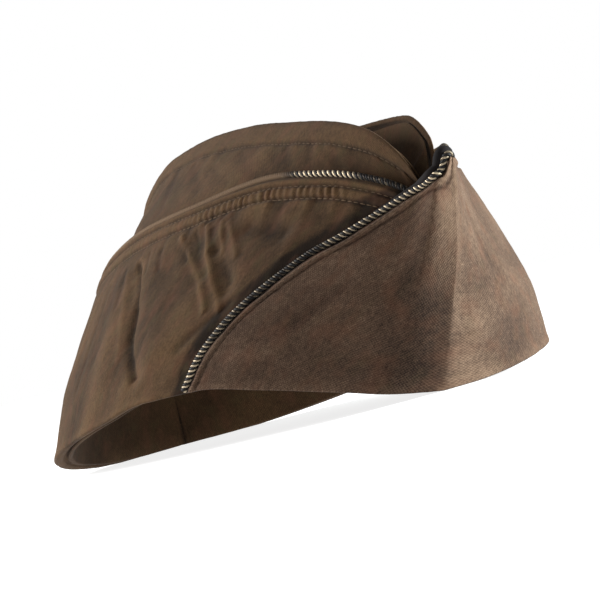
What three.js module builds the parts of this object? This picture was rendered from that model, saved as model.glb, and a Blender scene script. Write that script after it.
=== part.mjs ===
// A garrison cap standing open on its rim, in millimetres, +Z up.
// The front looks along -Y and +X is the wearer's left. The surface it stands on is Z = 0.
//
// The cap is two crown panels with a folded top strip between their ridges, and a curtain of
// doubled cloth turned up round them. The left curtain wraps over the front crease and lies on
// the right one as a flap. A corded piping follows the free edge of each curtain.
//
// A point of a cloth is named by its turn and its level. The turn goes from 0 degrees at the
// front to 180 at the rear, on one side of the cap. The level goes from 0 at the rim to 1 at
// the crown's ridge or, for the curtains, at CURTAIN_TOP. Both curtains are trimmed below that.
import * as THREE from 'three';

// ---- driving sizes ---------------------------------------------------------------------------

const RIGHT = -1; // the side of the cap, as the sign of X
const LEFT = 1;
const CROWN_CLOTH = 1.6; // wall of a crown panel
const CURTAIN_CLOTH = 2.0; // wall of a curtain, two layers of cloth
const SEAM_GAP = 0.4; // between cloths that are sewn together
const FLAP_LIFT = CURTAIN_CLOTH + 0.6; // how far the flap rides over the right curtain
const FLAP_LIFT_START = -6; // signed turns between which the cloth rises to that, round the
const FLAP_LIFT_END = 12; // front crease
const CURTAIN_TOP = 76; // height that the curtains' levels are counted to
const PIPING_RADIUS = 1.1;
const PIPING_SIDES = 8;
const CROWN_FOOT = 0.5; // how far the crown's lower edge stays above the curtain's
const RIGHT_CURTAIN_START = 13; // turn of its front end, hidden under the flap
const RIGHT_PIPING_START = 20; // also under the flap
const PIPING_END = 166; // turn where both pipings run into the rear seam
const VALLEY_DEPTH = 20; // of the top strip between the ridges
const VALLEY_ENDS = 0.45; // below 1 the valley stays deep till near the strip's ends
const VALLEY_SECTION = 1.4; // 1 is a sharp valley, 2 a round one
const STRIP_CLOTH = 1.4; // its thickness at the middle
const STRIP_TURNING = 1.3; // how much thicker its turned edges are
const STRIP_INSET = 2.0; // from each ridge to the edge of the top strip
const STRIP_SINK = 3.9; // from the ridge down to the underside of the strip's edge
const STRIP_TUCK = 2.4; // how much further the strip's edges reach under the panels at mid cap
const STRIP_START = 4; // turns between which the strip runs
const STRIP_END = 174;

// ---- tables ----------------------------------------------------------------------------------

// Horizontal outline at each level: half width, the Y of the front and rear folds, how pointed
// each end is (1 is an ellipse, 2 and more a boat), how far the rim's nose stands out, and how
// much further than the wall a fold moves when the cloth gets thicker.
const CROWN_LEVELS = [
  { level: 0.00, width: 73.0, front: -97, rear: 96, frontPoint: 0.88, rearPoint: 1.02, nose: 3, fold: 1.0 },
  { level: 0.20, width: 66.5, front: -107, rear: 95, frontPoint: 1.12, rearPoint: 1.12, nose: 1, fold: 1.1 },
  { level: 0.40, width: 57.0, front: -117, rear: 94, frontPoint: 1.45, rearPoint: 1.38, nose: 0, fold: 1.3 },
  { level: 0.60, width: 46.5, front: -125, rear: 91, frontPoint: 1.80, rearPoint: 1.90, nose: 0, fold: 1.4 },
  { level: 0.76, width: 36.0, front: -130, rear: 87, frontPoint: 1.75, rearPoint: 2.20, nose: 0, fold: 1.4 },
  { level: 0.88, width: 24.0, front: -132, rear: 83, frontPoint: 1.28, rearPoint: 2.00, nose: 0, fold: 1.2 },
  { level: 1.00, width: 10.5, front: -132, rear: 80, frontPoint: 0.50, rearPoint: 0.70, nose: 0, fold: 1.0 },
];
const CURTAIN_LEVELS = [
  { level: 0.00, width: 75.5, front: -99, rear: 98, frontPoint: 0.88, rearPoint: 1.02, nose: 4, fold: 1.0 },
  { level: 0.27, width: 69.5, front: -116, rear: 98, frontPoint: 1.13, rearPoint: 1.14, nose: 3, fold: 1.1 },
  { level: 0.49, width: 61.5, front: -130, rear: 98, frontPoint: 1.57, rearPoint: 1.36, nose: 2, fold: 1.2 },
  { level: 0.71, width: 52.0, front: -140, rear: 96, frontPoint: 2.10, rearPoint: 1.58, nose: 1, fold: 1.3 },
  { level: 0.90, width: 43.0, front: -147, rear: 94, frontPoint: 2.60, rearPoint: 1.95, nose: 0, fold: 1.3 },
  { level: 1.00, width: 38.0, front: -150, rear: 92, frontPoint: 2.80, rearPoint: 2.20, nose: 0, fold: 1.3 },
];

// Heights along each side: the arch of the rim, the curtain's top edge and the crown's ridge.
const RIGHT_HEIGHTS = [
  { turn: 0, rim: 0.0, edge: 51.0, ridge: 56.0 },
  { turn: 6, rim: 2.2, edge: 52.0, ridge: 62.0 },
  { turn: 12, rim: 4.6, edge: 53.5, ridge: 68.5 },
  { turn: 20, rim: 8.3, edge: 56.8, ridge: 75.0 },
  { turn: 35, rim: 14.4, edge: 65.0, ridge: 83.8 },
  { turn: 50, rim: 19.2, edge: 71.5, ridge: 89.0 },
  { turn: 65, rim: 19.5, edge: 75.0, ridge: 92.5 },
  { turn: 80, rim: 16.0, edge: 73.0, ridge: 95.5 },
  { turn: 95, rim: 12.5, edge: 71.0, ridge: 96.5 },
  { turn: 115, rim: 7.5, edge: 65.5, ridge: 94.5 },
  { turn: 135, rim: 3.2, edge: 60.0, ridge: 87.0 },
  { turn: 155, rim: 0.6, edge: 57.5, ridge: 75.0 },
  { turn: 168, rim: 0.0, edge: 57.5, ridge: 63.5 },
  { turn: 180, rim: 0.0, edge: 58.5, ridge: 54.0 },
];
const LEFT_HEIGHTS = [
  { turn: 0, rim: 0.0, edge: 66.0, ridge: 58.0 },
  { turn: 6, rim: 0.0, edge: 65.8, ridge: 68.0 },
  { turn: 12, rim: 0.3, edge: 66.4, ridge: 74.0 },
  { turn: 20, rim: 1.2, edge: 67.6, ridge: 77.5 },
  { turn: 35, rim: 3.2, edge: 69.4, ridge: 84.2 },
  { turn: 50, rim: 5.0, edge: 70.5, ridge: 85.5 },
  { turn: 65, rim: 7.5, edge: 70.5, ridge: 86.2 },
  { turn: 80, rim: 9.3, edge: 70.5, ridge: 90.0 },
  { turn: 95, rim: 10.0, edge: 69.5, ridge: 92.0 },
  { turn: 115, rim: 7.0, edge: 64.5, ridge: 91.0 },
  { turn: 135, rim: 3.2, edge: 61.0, ridge: 85.0 },
  { turn: 155, rim: 0.6, edge: 57.5, ridge: 73.5 },
  { turn: 168, rim: 0.0, edge: 57.5, ridge: 63.0 },
  { turn: 180, rim: 0.0, edge: 58.5, ridge: 54.0 },
];

// Where the flap ends on the right side: nearly upright at the rim, then a long diagonal.
const FLAP_EDGE = [
  { level: 0.00, turn: 52.2 },
  { level: 0.12, turn: 52.4 },
  { level: 0.30, turn: 50.4 },
  { level: 0.43, turn: 47.5 },
  { level: 0.59, turn: 41.6 },
  { level: 0.66, turn: 36.6 },
  { level: 0.76, turn: 28.8 },
  { level: 0.83, turn: 22.0 },
  { level: 0.88, turn: 13.8 },
  { level: 0.94, turn: 6.5 },
  { level: 1.00, turn: 3.0 },
];

// Folds and gathers pressed into the cloth: each runs from one turn and level to another, as
// deep (negative) or as proud as given, with this half width across.
const RIGHT_CURTAIN_FOLDS = [
  { turn: 90, level: 0.78, toTurn: 84, toLevel: 0.57, depth: -1.6, half: 2.6 },
  { turn: 84, level: 0.57, toTurn: 80, toLevel: 0.40, depth: -2.0, half: 2.6 },
  { turn: 80, level: 0.40, toTurn: 71, toLevel: 0.16, depth: -1.7, half: 2.6 },
  { turn: 96, level: 0.76, toTurn: 85, toLevel: 0.28, depth: 0.9, half: 4.5 },
  { turn: 83, level: 0.74, toTurn: 68, toLevel: 0.28, depth: 1.1, half: 5.0 },
  { turn: 75, level: 0.82, toTurn: 67, toLevel: 0.60, depth: -1.1, half: 2.6 },
  { turn: 67, level: 0.72, toTurn: 58, toLevel: 0.50, depth: -1.4, half: 2.6 },
  { turn: 62, level: 0.78, toTurn: 53, toLevel: 0.75, depth: -1.2, half: 3.6 },
];
// These dent the flap and the right curtain under it alike.
const FRONT_FOLDS = [
  { turn: 13, level: 0.12, toTurn: 17, toLevel: 0.38, depth: -1.6, half: 9.0 },
  { turn: 38, level: 0.12, toTurn: 30, toLevel: 0.30, depth: -0.8, half: 5.0 },
];
// The flap stands out beside its upper front crease, where the cloth is folded round the peak.
const FLAP_FOLDS = [
  { turn: 12, level: 0.40, toTurn: 12, toLevel: 0.70, depth: 2.6, half: 8.0 },
];
const MM_PER_TURN = 1.35; // rough size of one degree of turn and one level, for the folds
const MM_PER_LEVEL = 58;
const CREASE_CRISPNESS = 12; // how soon, going round from a crease, a wall has its full thickness

// ---- reading the tables ----------------------------------------------------------------------

// A smooth curve through one column of a table that never overshoots its rows.
function column(rows, key, name) {
  const x = rows.map((row) => row[key]);
  const y = rows.map((row) => row[name]);
  const last = x.length - 1;
  const slope = (i) => (y[i + 1] - y[i]) / (x[i + 1] - x[i]);
  const tangent = x.map((_, i) => {
    if (i === 0) return slope(0);
    if (i === last) return slope(last - 1);
    const before = slope(i - 1);
    const after = slope(i);
    return before * after <= 0 ? 0 : (2 * before * after) / (before + after);
  });
  return (at) => {
    const p = THREE.MathUtils.clamp(at, x[0], x[last]);
    let i = 0;
    while (i < last - 1 && p > x[i + 1]) i += 1;
    const span = x[i + 1] - x[i];
    const t = (p - x[i]) / span;
    const s = 1 - t;
    return (
      y[i] * s * s * (1 + 2 * t) +
      y[i + 1] * t * t * (3 - 2 * t) +
      tangent[i] * span * t * s * s -
      tangent[i + 1] * span * t * t * s
    );
  };
}

function table(rows, key) {
  const names = Object.keys(rows[0]).filter((name) => name !== key);
  return Object.fromEntries(names.map((name) => [name, column(rows, key, name)]));
}

const crownLevels = table(CROWN_LEVELS, 'level');
const curtainLevels = table(CURTAIN_LEVELS, 'level');
const heights = { [RIGHT]: table(RIGHT_HEIGHTS, 'turn'), [LEFT]: table(LEFT_HEIGHTS, 'turn') };
const flapEdge = table(FLAP_EDGE, 'level');

// ---- cloth surfaces --------------------------------------------------------------------------

// How far from upright the side wall leans in at a level, in radians.
function lean(levels, level, height) {
  const step = 0.02;
  const low = Math.max(level - step, 0);
  const high = Math.min(level + step, 1);
  const inward = levels.width(low) - levels.width(high);
  return Math.atan2(inward, height * (high - low));
}

// The point at a turn and level, moved out by a distance square to the wall.
function wallPoint(levels, side, turn, level, bottom, top, out) {
  const angle = THREE.MathUtils.degToRad(turn);
  const across = Math.max(Math.sin(angle), 0);
  const along = Math.cos(angle);
  const slant = lean(levels, level, top - bottom);
  const grow = out * Math.cos(slant);
  const front = levels.front(level) - grow * levels.fold(level);
  const rear = levels.rear(level) + grow;
  const point = along > 0 ? levels.frontPoint(level) : levels.rearPoint(level);
  const nose = along > 0 ? levels.nose(level) * (1 - across) ** 3 : 0;
  const x = side * (levels.width(level) * across ** point + grow * Math.tanh(CREASE_CRISPNESS * across));
  const y = (front + rear) / 2 - ((rear - front) / 2) * along - nose;
  const z = THREE.MathUtils.lerp(bottom, top, level) + out * Math.sin(slant) * level;
  return new THREE.Vector3(x, y, z);
}

function crownPoint(side, turn, level, out) {
  const { rim, ridge } = heights[side];
  return wallPoint(crownLevels, side, turn, level, rim(turn) + CROWN_FOOT, ridge(turn), out);
}

// Where valleys meet, the deepest one counts.
function foldDepth(folds, turn, level) {
  let swell = 0;
  let valley = 0;
  for (const fold of folds) {
    const run = new THREE.Vector2(
      (fold.toTurn - fold.turn) * MM_PER_TURN,
      (fold.toLevel - fold.level) * MM_PER_LEVEL,
    );
    const from = new THREE.Vector2(
      (turn - fold.turn) * MM_PER_TURN,
      (level - fold.level) * MM_PER_LEVEL,
    );
    const share = THREE.MathUtils.clamp(from.dot(run) / run.lengthSq(), 0, 1);
    const distance = from.addScaledVector(run, -share).length();
    const depth = fold.depth * Math.exp(-((distance / fold.half) ** 2));
    swell += Math.max(depth, 0);
    valley = Math.min(valley, depth);
  }
  return swell + valley;
}

// A share of a curtain's height, from its rim to its own top edge, as a level.
function trimmed(share, rim, edge) {
  return (share * (edge - rim)) / (CURTAIN_TOP - rim);
}

function rightCurtainPoint(turn, share, out) {
  const rim = heights[RIGHT].rim(turn);
  const level = trimmed(share, rim, heights[RIGHT].edge(turn));
  const folds = foldDepth(RIGHT_CURTAIN_FOLDS, turn, share) + foldDepth(FRONT_FOLDS, turn, level);
  return wallPoint(curtainLevels, RIGHT, turn, level, rim, CURTAIN_TOP, out + folds);
}

// The left curtain's turn is signed: negative on the left side, positive where it is the flap.
function leftCurtainPoint(signedTurn, share, out) {
  const side = signedTurn > 0 ? RIGHT : LEFT;
  const turn = Math.abs(signedTurn);
  const rim = heights[side].rim(turn);
  const level = trimmed(share, rim, heights[LEFT].edge(turn));
  const lift = FLAP_LIFT * THREE.MathUtils.smoothstep(signedTurn, FLAP_LIFT_START, FLAP_LIFT_END);
  const flapFolds = foldDepth(FRONT_FOLDS, turn, level) + foldDepth(FLAP_FOLDS, turn, level);
  const folds = signedTurn > 0 ? flapFolds : 0;
  return wallPoint(curtainLevels, side, turn, level, rim, CURTAIN_TOP, out + lift + folds);
}

// ---- solids ----------------------------------------------------------------------------------

function steps(from, to, count) {
  return Array.from({ length: count + 1 }, (_, i) => from + ((to - from) * i) / count);
}

// A cloth keeps to its own side of the middle seams.
function offMiddle(point, side) {
  if (point.x * side < SEAM_GAP / 2) point.x = (side * SEAM_GAP) / 2;
  return point;
}

// A closed wall between two grids of points, each a list of rows of the same length.
function clothWall(outerRows, innerRows) {
  const rows = outerRows.length;
  const columns = outerRows[0].length;
  const points = [...outerRows.flat(), ...innerRows.flat()];
  const outer = (row, col) => row * columns + col;
  const inner = (row, col) => rows * columns + outer(row, col);
  const faces = [];
  const quad = (a, b, c, d) => faces.push(a, b, c, a, c, d);
  for (let row = 0; row < rows - 1; row += 1) {
    for (let col = 0; col < columns - 1; col += 1) {
      quad(outer(row, col), outer(row, col + 1), outer(row + 1, col + 1), outer(row + 1, col));
      quad(inner(row, col), inner(row + 1, col), inner(row + 1, col + 1), inner(row, col + 1));
    }
    const end = columns - 1;
    quad(outer(row, 0), outer(row + 1, 0), inner(row + 1, 0), inner(row, 0));
    quad(outer(row, end), inner(row, end), inner(row + 1, end), outer(row + 1, end));
  }
  for (let col = 0; col < columns - 1; col += 1) {
    const top = rows - 1;
    quad(outer(0, col), inner(0, col), inner(0, col + 1), outer(0, col + 1));
    quad(outer(top, col), outer(top, col + 1), inner(top, col + 1), inner(top, col));
  }
  if (signedVolume(points, faces) < 0) faces.reverse();
  const geometry = new THREE.BufferGeometry().setFromPoints(points);
  geometry.setIndex(faces);
  geometry.computeVertexNormals();
  return geometry;
}

function signedVolume(points, faces) {
  let volume = 0;
  for (let i = 0; i < faces.length; i += 3) {
    const [a, b, c] = [points[faces[i]], points[faces[i + 1]], points[faces[i + 2]]];
    volume += a.dot(b.clone().cross(c)) / 6;
  }
  return volume;
}

function cloth(name, colour, geometry) {
  const material = new THREE.MeshStandardMaterial({ color: colour, roughness: 0.95, metalness: 0 });
  const mesh = new THREE.Mesh(geometry, material);
  mesh.name = name;
  return mesh;
}

// ---- pieces ----------------------------------------------------------------------------------

const CROWN_COLOUR = 0x5d4b3e;
const CURTAIN_COLOUR = 0x66523f;
const FLAP_COLOUR = 0x6e5a48;
const PIPING_COLOUR = 0xa79a86;

function crownPanel(name, side) {
  const turns = [0, 2, 5, 9, 14, 20, ...steps(28, 160, 22), 167, 173, 177, 180];
  const levels = [0, 0.2, 0.4, 0.55, 0.68, 0.78, 0.86, 0.93, 1];
  const face = (out) =>
    levels.map((level) => turns.map((turn) => offMiddle(crownPoint(side, turn, level, out), side)));
  return cloth(name, CROWN_COLOUR, clothWall(face(0), face(-CROWN_CLOTH)));
}

// The strip's edges hang from the two ridges, and its middle is folded down between them.
function stripPoint(turn, across, upper) {
  const ridgeMiddle = (at) =>
    crownPoint(RIGHT, at, 1, 0).add(crownPoint(LEFT, at, 1, 0)).multiplyScalar(0.5);
  const along = ridgeMiddle(turn + 1).sub(ridgeMiddle(turn - 1));
  const down = new THREE.Vector3(0, along.z, -along.y).normalize();
  const right = crownPoint(RIGHT, turn, 1, 0);
  const left = crownPoint(LEFT, turn, 1, 0);
  const bow = Math.sin(THREE.MathUtils.degToRad(turn));
  const half = Math.max(left.x - STRIP_INSET + STRIP_TUCK * bow ** 2, SEAM_GAP);
  const point = right.lerp(left, (across + 1) / 2);
  point.x = half * across;
  const valley = VALLEY_DEPTH * bow ** VALLEY_ENDS * (1 - Math.abs(across) ** VALLEY_SECTION);
  const thickness = STRIP_CLOTH + STRIP_TURNING * Math.sqrt(Math.abs(across));
  const sink = STRIP_SINK + STRIP_TUCK * bow ** 2 + valley;
  return point.addScaledVector(down, upper ? sink - thickness : sink);
}

function crownTop() {
  const turns = [STRIP_START, 7, 11, 16, 22, ...steps(30, 155, 20), 162, 168, STRIP_END];
  const acrosses = [-1, -0.7, -0.4, -0.15, 0.15, 0.4, 0.7, 1];
  const face = (upper) =>
    turns.map((turn) => acrosses.map((across) => stripPoint(turn, across, upper)));
  return cloth('crown_top', CROWN_COLOUR, clothWall(face(true), face(false)));
}

const RIGHT_TURNS = [
  ...steps(RIGHT_CURTAIN_START, 48, 10),
  ...steps(50.2, 92, 20),
  ...steps(96, 164, 13),
  170, 175, 178,
];

function rightCurtain() {
  const turns = [...RIGHT_TURNS, 180];
  const levels = [0, 0.09, ...steps(0.18, 0.9, 9), 1];
  const face = (out) =>
    levels.map((level) =>
      turns.map((turn) => offMiddle(rightCurtainPoint(turn, level, out), RIGHT)),
    );
  return cloth('curtain_right', CURTAIN_COLOUR, clothWall(face(CURTAIN_CLOTH), face(0)));
}

const LEFT_TURNS = [-178, -175, -170, ...steps(-164, -24, 22), -18, -13];

function leftCurtain() {
  const leftTurns = [-180, ...LEFT_TURNS, -9, -6, -3, 0];
  const flapShares = [0.06, 0.13, 0.21, 0.3, 0.4, 0.5, 0.6, 0.7, 0.8, 0.9, 1];
  const levels = [0, 0.12, 0.24, 0.36, 0.48, 0.6, 0.7, 0.8, 0.88, 0.95, 1];
  const place = (turn, level, out) => {
    const point = leftCurtainPoint(turn, level, out);
    return turn < -90 ? offMiddle(point, LEFT) : point;
  };
  const face = (out) =>
    levels.map((level) => {
      const flapTurns = flapShares.map((share) => share * flapEdge.turn(level));
      return [...leftTurns, ...flapTurns].map((turn) => place(turn, level, out));
    });
  return cloth('curtain_left', FLAP_COLOUR, clothWall(face(CURTAIN_CLOTH), face(0)));
}

// A round cord through the given points, with a ring at each of them.
function piping(name, points) {
  const section = new THREE.Shape();
  for (let i = 0; i < PIPING_SIDES; i += 1) {
    const angle = (2 * Math.PI * i) / PIPING_SIDES;
    const corner = [PIPING_RADIUS * Math.cos(angle), PIPING_RADIUS * Math.sin(angle)];
    if (i === 0) section.moveTo(...corner);
    else section.lineTo(...corner);
  }
  section.closePath();
  const route = new THREE.CatmullRomCurve3(points, false, 'centripetal');
  route.getUtoTmapping = (share) => share;
  const geometry = new THREE.ExtrudeGeometry(section, {
    steps: points.length - 1,
    bevelEnabled: false,
    extrudePath: route,
  });
  const material = new THREE.MeshStandardMaterial({
    color: PIPING_COLOUR, roughness: 0.45, metalness: 0.5,
  });
  const mesh = new THREE.Mesh(geometry, material);
  mesh.name = name;
  return mesh;
}

const CORD_REACH = PIPING_RADIUS + SEAM_GAP + 0.2; // from a free edge to the middle of its piping

// Middle of the cord over an upper edge: past the edge along the cloth's own slope.
function overEdge(pointAt, turn) {
  const at = (share, here) => pointAt(here, share, CURTAIN_CLOTH / 2);
  const top = at(1, turn);
  const along = at(1, turn + 1).sub(at(1, turn - 1)).normalize();
  const up = top.clone().sub(at(0.95, turn));
  const away = up.addScaledVector(along, -up.dot(along)).normalize();
  return top.addScaledVector(away, CORD_REACH);
}

function rightPiping() {
  const turns = RIGHT_TURNS.filter((turn) => turn >= RIGHT_PIPING_START && turn < PIPING_END);
  return piping('piping_right', turns.map((turn) => overEdge(rightCurtainPoint, turn)));
}

// Middle of the cord beside the flap's edge, square to the edge and to the cloth's thickness.
function besideFlap(level) {
  const at = (here, out) => leftCurtainPoint(flapEdge.turn(here), here, out);
  const low = Math.max(level - 0.02, 0);
  const high = Math.min(level + 0.02, 1);
  const along = at(high, CURTAIN_CLOTH).sub(at(low, CURTAIN_CLOTH));
  const through = at(level, CURTAIN_CLOTH).sub(at(level, 0));
  const away = through.cross(along).normalize();
  return at(level, CURTAIN_CLOTH / 2).addScaledVector(away, CORD_REACH);
}

function leftPiping() {
  const turns = [...LEFT_TURNS.filter((turn) => turn > -PIPING_END), -10];
  const leftEdge = turns.map((turn) => overEdge(leftCurtainPoint, turn));
  const flapSide = [1, 0.98, ...steps(0.96, 0.05, 32), 0.01].map((level) => besideFlap(level));
  const overPeak = [-6, -3, 0, flapEdge.turn(1) - 0.5].map((turn) => {
    const cloth = leftCurtainPoint(turn, 1, CURTAIN_CLOTH / 2);
    return cloth.add(new THREE.Vector3(0, 0, CORD_REACH + 0.5));
  });
  return piping('piping_left', [...leftEdge, ...overPeak, ...flapSide]);
}

const cap = new THREE.Group();
cap.add(
  crownPanel('crown_right_panel', RIGHT),
  crownPanel('crown_left_panel', LEFT),
  crownTop(),
  rightCurtain(),
  leftCurtain(),
  rightPiping(),
  leftPiping(),
);

// The origin lies on the surface the rim stands on, under the middle of the cap.
const bounds = new THREE.Box3().setFromObject(cap);
const middle = bounds.getCenter(new THREE.Vector3());
cap.position.set(-middle.x, -middle.y, -bounds.min.z);

export default cap;
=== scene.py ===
# The garrison cap's looks: fine cloth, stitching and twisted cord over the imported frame.
# Lengths in the tables and surfaces are millimetres, as in the part's source. A point of a
# cloth is named by its turn (0 degrees at the front crease, 180 at the rear seam, on one side)
# and its level or share (0 at the rim, 1 at the cloth's top).
import math
from functools import partial

import bpy
import numpy as np
from mathutils import Matrix, Vector


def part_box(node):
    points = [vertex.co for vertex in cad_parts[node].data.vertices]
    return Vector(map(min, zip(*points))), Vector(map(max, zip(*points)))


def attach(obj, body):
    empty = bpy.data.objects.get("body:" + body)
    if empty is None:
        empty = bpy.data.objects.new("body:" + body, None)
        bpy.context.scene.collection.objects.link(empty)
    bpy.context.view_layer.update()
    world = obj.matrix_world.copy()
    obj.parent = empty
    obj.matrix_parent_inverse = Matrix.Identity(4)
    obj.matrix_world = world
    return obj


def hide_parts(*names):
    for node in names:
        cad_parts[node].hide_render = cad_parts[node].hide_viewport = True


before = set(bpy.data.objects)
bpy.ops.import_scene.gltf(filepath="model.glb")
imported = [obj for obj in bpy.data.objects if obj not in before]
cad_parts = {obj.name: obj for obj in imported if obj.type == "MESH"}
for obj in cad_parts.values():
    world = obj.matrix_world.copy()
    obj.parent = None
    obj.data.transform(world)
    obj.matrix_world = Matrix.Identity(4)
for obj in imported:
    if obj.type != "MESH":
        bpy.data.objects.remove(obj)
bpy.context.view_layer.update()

MM = 0.001
RIGHT = -1
LEFT = 1

# ---- sizes and tables of the part ----

CROWN_CLOTH = 1.6
CURTAIN_CLOTH = 2.0
FLAP_LIFT = CURTAIN_CLOTH + 0.6
FLAP_LIFT_START = -6
FLAP_LIFT_END = 12
CURTAIN_TOP = 76
CROWN_FOOT = 0.5
RIGHT_CURTAIN_START = 13
PIPING_RADIUS = 1.1
VALLEY_DEPTH = 20
VALLEY_ENDS = 0.45
VALLEY_SECTION = 1.4
STRIP_CLOTH = 1.4
STRIP_TURNING = 1.3
STRIP_INSET = 2.0
STRIP_SINK = 3.9
STRIP_TUCK = 2.4
SEAM_TURNING = 6.0  # how far the strip's end is turned in at the rear seam
CREASE_CRISPNESS = 12

LEVEL_NAMES = ("level", "width", "front", "rear", "front_point", "rear_point", "nose", "fold")
CROWN_LEVELS = [
    (0.00, 73.0, -97, 96, 0.88, 1.02, 3, 1.0),
    (0.20, 66.5, -107, 95, 1.12, 1.12, 1, 1.1),
    (0.40, 57.0, -117, 94, 1.45, 1.38, 0, 1.3),
    (0.60, 46.5, -125, 91, 1.80, 1.90, 0, 1.4),
    (0.76, 36.0, -130, 87, 1.75, 2.20, 0, 1.4),
    (0.88, 24.0, -132, 83, 1.28, 2.00, 0, 1.2),
    (1.00, 10.5, -132, 80, 0.50, 0.70, 0, 1.0),
]
CURTAIN_LEVELS = [
    (0.00, 75.5, -99, 98, 0.88, 1.02, 4, 1.0),
    (0.27, 69.5, -116, 98, 1.13, 1.14, 3, 1.1),
    (0.49, 61.5, -130, 98, 1.57, 1.36, 2, 1.2),
    (0.71, 52.0, -140, 96, 2.10, 1.58, 1, 1.3),
    (0.90, 43.0, -147, 94, 2.60, 1.95, 0, 1.3),
    (1.00, 38.0, -150, 92, 2.80, 2.20, 0, 1.3),
]
HEIGHT_NAMES = ("turn", "rim", "edge", "ridge")
RIGHT_HEIGHTS = [
    (0, 0.0, 51.0, 56.0),
    (6, 2.2, 52.0, 62.0),
    (12, 4.6, 53.5, 68.5),
    (20, 8.3, 56.8, 75.0),
    (35, 14.4, 65.0, 83.8),
    (50, 19.2, 71.5, 89.0),
    (65, 19.5, 75.0, 92.5),
    (80, 16.0, 73.0, 95.5),
    (95, 12.5, 71.0, 96.5),
    (115, 7.5, 65.5, 94.5),
    (135, 3.2, 60.0, 87.0),
    (155, 0.6, 57.5, 75.0),
    (168, 0.0, 57.5, 63.5),
    (180, 0.0, 58.5, 54.0),
]
LEFT_HEIGHTS = [
    (0, 0.0, 66.0, 58.0),
    (6, 0.0, 65.8, 68.0),
    (12, 0.3, 66.4, 74.0),
    (20, 1.2, 67.6, 77.5),
    (35, 3.2, 69.4, 84.2),
    (50, 5.0, 70.5, 85.5),
    (65, 7.5, 70.5, 86.2),
    (80, 9.3, 70.5, 90.0),
    (95, 10.0, 69.5, 92.0),
    (115, 7.0, 64.5, 91.0),
    (135, 3.2, 61.0, 85.0),
    (155, 0.6, 57.5, 73.5),
    (168, 0.0, 57.5, 63.0),
    (180, 0.0, 58.5, 54.0),
]
FLAP_EDGE = [
    (0.00, 52.2),
    (0.12, 52.4),
    (0.30, 50.4),
    (0.43, 47.5),
    (0.59, 41.6),
    (0.66, 36.6),
    (0.76, 28.8),
    (0.83, 22.0),
    (0.88, 13.8),
    (0.94, 6.5),
    (1.00, 3.0),
]

# Main folds, as in the part's source: from a turn and share to another, depth and half width.
RIGHT_CURTAIN_FOLDS = [
    (90, 0.78, 84, 0.57, -1.6, 2.6),
    (84, 0.57, 80, 0.40, -2.0, 2.6),
    (80, 0.40, 71, 0.16, -1.7, 2.6),
    (96, 0.76, 85, 0.28, 0.9, 4.5),
    (83, 0.74, 68, 0.28, 1.1, 5.0),
    (75, 0.82, 67, 0.60, -1.1, 2.6),
    (67, 0.72, 58, 0.50, -1.4, 2.6),
    (62, 0.78, 53, 0.75, -1.2, 3.6),
]
FRONT_FOLDS = [
    (13, 0.12, 17, 0.38, -1.6, 9.0),
    (38, 0.12, 30, 0.30, -0.8, 5.0),
]
FLAP_FOLDS = [
    (12, 0.40, 12, 0.70, 2.6, 8.0),
]
MM_PER_TURN = 1.35
MM_PER_LEVEL = 58
LEVEL_STEP = 0.02  # how far above and below a point its slope is read

# ---- fine relief, added to the outer face only ----

# Creases: the turns and shares that each line runs through, its depth and its half width.
# These are the gathers that hang from the lower row of stitches on the right curtain, and the
# sharp lines of its main folds.
RIGHT_GATHERS = [
    ([(91, 0.82), (86, 0.68), (84, 0.57), (81, 0.42), (78, 0.33), (72, 0.16)], -1.0, 1.0),
    ([(94, 0.80), (88, 0.60), (81, 0.33)], 0.45, 1.2),
    ([(79, 0.87), (73, 0.72), (66, 0.56), (60, 0.41)], 0.85, 0.9),
    ([(77.5, 0.84), (74, 0.72)], -0.5, 0.9),
    ([(75.5, 0.86), (71.5, 0.72), (69, 0.66)], -0.5, 0.9),
    ([(73, 0.87), (69, 0.71), (63, 0.55), (56, 0.40)], 0.9, 0.9),
    ([(71, 0.84), (67, 0.70)], -0.55, 0.9),
    ([(69.5, 0.86), (65.5, 0.70)], 0.7, 0.8),
    ([(67.5, 0.84), (61, 0.66)], 0.65, 0.9),
    ([(64, 0.65), (58.5, 0.53)], -0.6, 1.2),
    ([(62, 0.78), (53, 0.745)], -0.5, 2.2),
    ([(84, 0.85), (81, 0.73)], -0.45, 0.9),
    ([(88, 0.85), (85.5, 0.75)], -0.4, 0.9),
    ([(96, 0.82), (92, 0.64)], -0.4, 1.1),
    ([(61, 0.25), (55, 0.42)], -0.5, 1.8),
    ([(102, 0.78), (99, 0.30)], -0.35, 1.5),
    ([(108, 0.78), (107, 0.40)], 0.25, 1.8),
    ([(118, 0.75), (120, 0.25)], -0.3, 2.0),
    ([(133, 0.70), (131, 0.30)], 0.3, 2.2),
]
CROWN_CREASES = [
    ([(95, 0.91), (82, 0.80)], -0.45, 1.3),
    ([(88, 0.92), (76, 0.84)], 0.30, 1.2),
    ([(84, 0.88), (72, 0.80)], -0.35, 1.2),
    ([(76, 0.90), (64, 0.81)], -0.40, 1.2),
    ([(68, 0.90), (60, 0.83)], 0.25, 1.2),
    ([(60, 0.90), (54, 0.81)], -0.35, 1.2),
    ([(48, 0.91), (40, 0.83)], -0.30, 1.3),
    ([(104, 0.90), (96, 0.78)], -0.40, 1.6),
    ([(116, 0.90), (108, 0.78)], 0.30, 1.8),
]
FLAP_CREASES = [
    ([(36, 0.30), (30, 0.44)], -0.35, 2.2),
    ([(44, 0.16), (36, 0.20)], 0.30, 2.6),
    ([(14, 0.62), (16, 0.30)], -0.30, 3.0),
    ([(24, 0.70), (14, 0.82)], -0.25, 2.0),
]
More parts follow.
